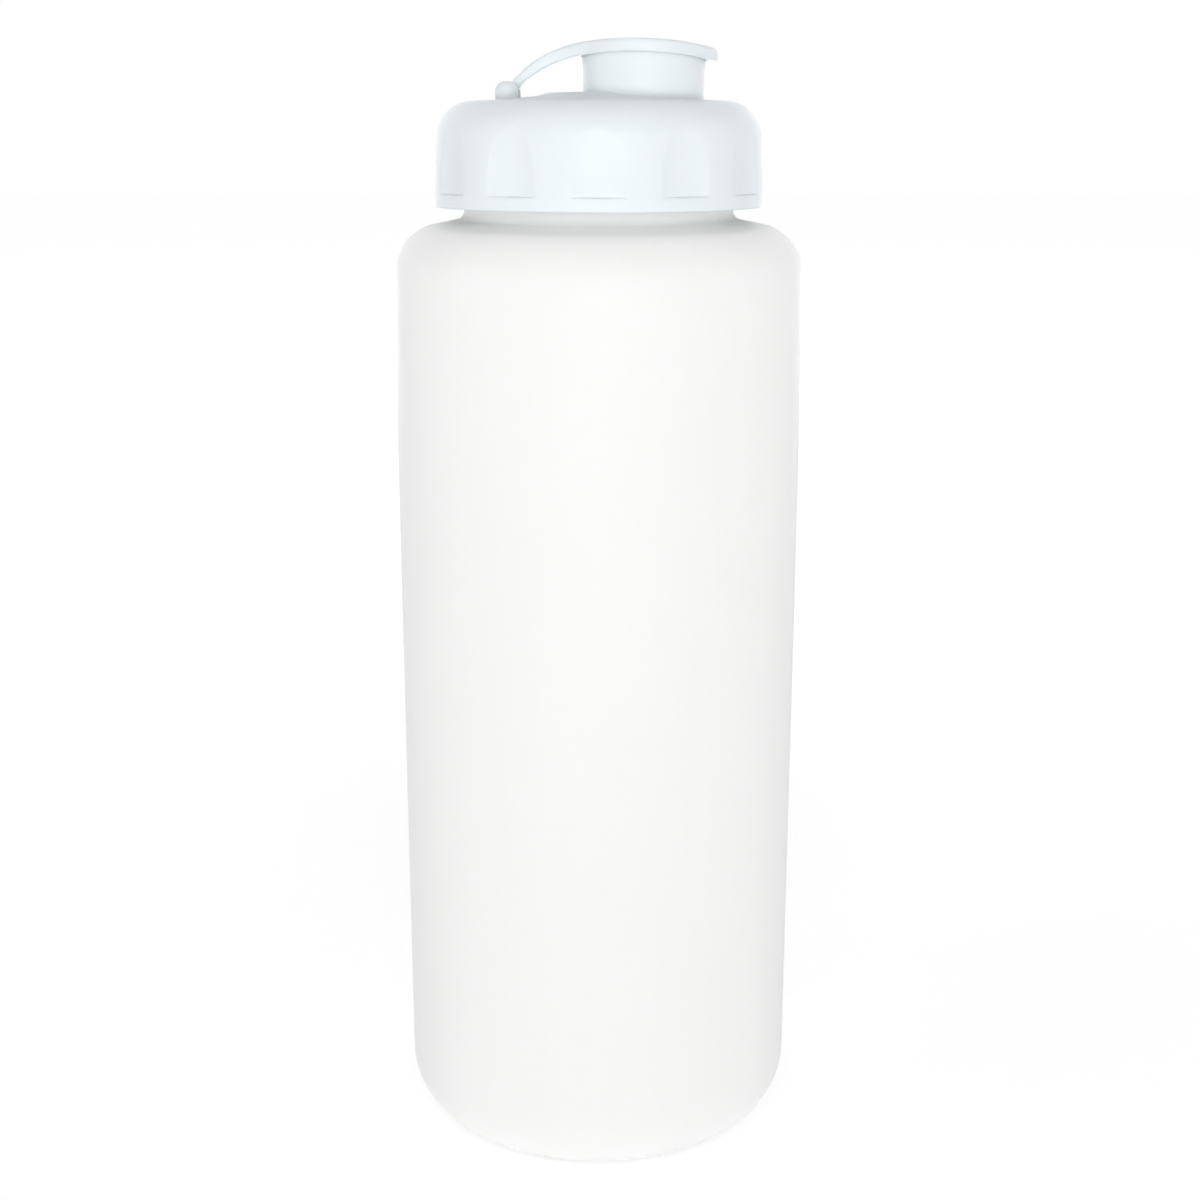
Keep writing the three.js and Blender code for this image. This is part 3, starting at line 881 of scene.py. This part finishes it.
def hang_lamp(name, azimuth, elevation, distance, width, height, level):
    """A softbox aimed at the bottle. Level is about the share of white that it adds to what faces it."""
    turn, tilt = math.radians(azimuth), math.radians(elevation)
    flat_part = math.cos(tilt)
    towards = Vector((math.sin(turn) * flat_part, -math.cos(turn) * flat_part, math.sin(tilt)))
    data = bpy.data.lights.new(name, "AREA")
    data.shape = "RECTANGLE"
    data.size, data.size_y = width, height
    data.energy = level * math.pi ** 2 * distance ** 2
    lamp = bpy.data.objects.new(name, data)
    lamp.visible_camera = False
    lamp.location = Vector(LAMP_AIM) + towards * distance
    lamp.rotation_euler = (-towards).to_track_quat("-Z", "Y").to_euler()
    bpy.context.scene.collection.objects.link(lamp)


def set_camera():
    """The photograph's camera: level with the cap and pitched down."""
    data = bpy.data.cameras.new("photo_camera")
    data.sensor_width = SENSOR_WIDTH
    data.lens = SENSOR_WIDTH * FOCAL_PIXELS / FRAME_PIXELS
    data.shift_x = SHIFT_RIGHT
    data.clip_start = NEAREST_SEEN
    data.clip_end = FARTHEST_SEEN
    camera = bpy.data.objects.new("photo_camera", data)
    camera.location = CAMERA_PLACE
    pitch = Matrix.Rotation(math.radians(90 - CAMERA_DIP), 3, "X")
    roll = Matrix.Rotation(math.radians(CAMERA_ROLL), 3, "Z")
    camera.rotation_euler = (pitch @ roll).to_euler()
    bpy.context.scene.collection.objects.link(camera)
    bpy.context.scene.camera = camera


set_camera()
light_room()
lay_floor()
hang_lamp("key_softbox", azimuth=3, elevation=5.5, distance=2, width=2.4, height=0.6, level=0.185)
hang_lamp("low_softbox", azimuth=3, elevation=-3, distance=1.2, width=1.6, height=0.12, level=0.34)
hang_lamp("high_softbox", azimuth=3, elevation=31, distance=2, width=1.8, height=0.8, level=0.125)
hang_lamp("left_fill", azimuth=-66, elevation=4, distance=2, width=0.8, height=0.5, level=0.1)
hang_lamp("right_fill", azimuth=66, elevation=4, distance=2, width=0.8, height=0.5, level=0.05)
hang_lamp("back_low_softbox", azimuth=180, elevation=-3, distance=1.2, width=1.2, height=0.12, level=0.3)
hang_lamp("left_back_softbox", azimuth=-156, elevation=13, distance=2, width=1.4, height=1, level=0.14)
hang_lamp("right_back_softbox", azimuth=156, elevation=13, distance=2, width=1.4, height=1, level=0.13)

bottle = make_bottle()
cap = make_cap()
lid = make_lid()
seal = make_seal()

bottle.data.materials.clear()
bottle.data.materials.append(blown_polyethylene())
cap_white = moulded_polypropylene()
for piece in (cap, lid):
    piece.data.materials.clear()
    piece.data.materials.append(cap_white)
seal.data.materials.append(seal_foam())

bpy.context.scene.view_settings.view_transform = "Standard"
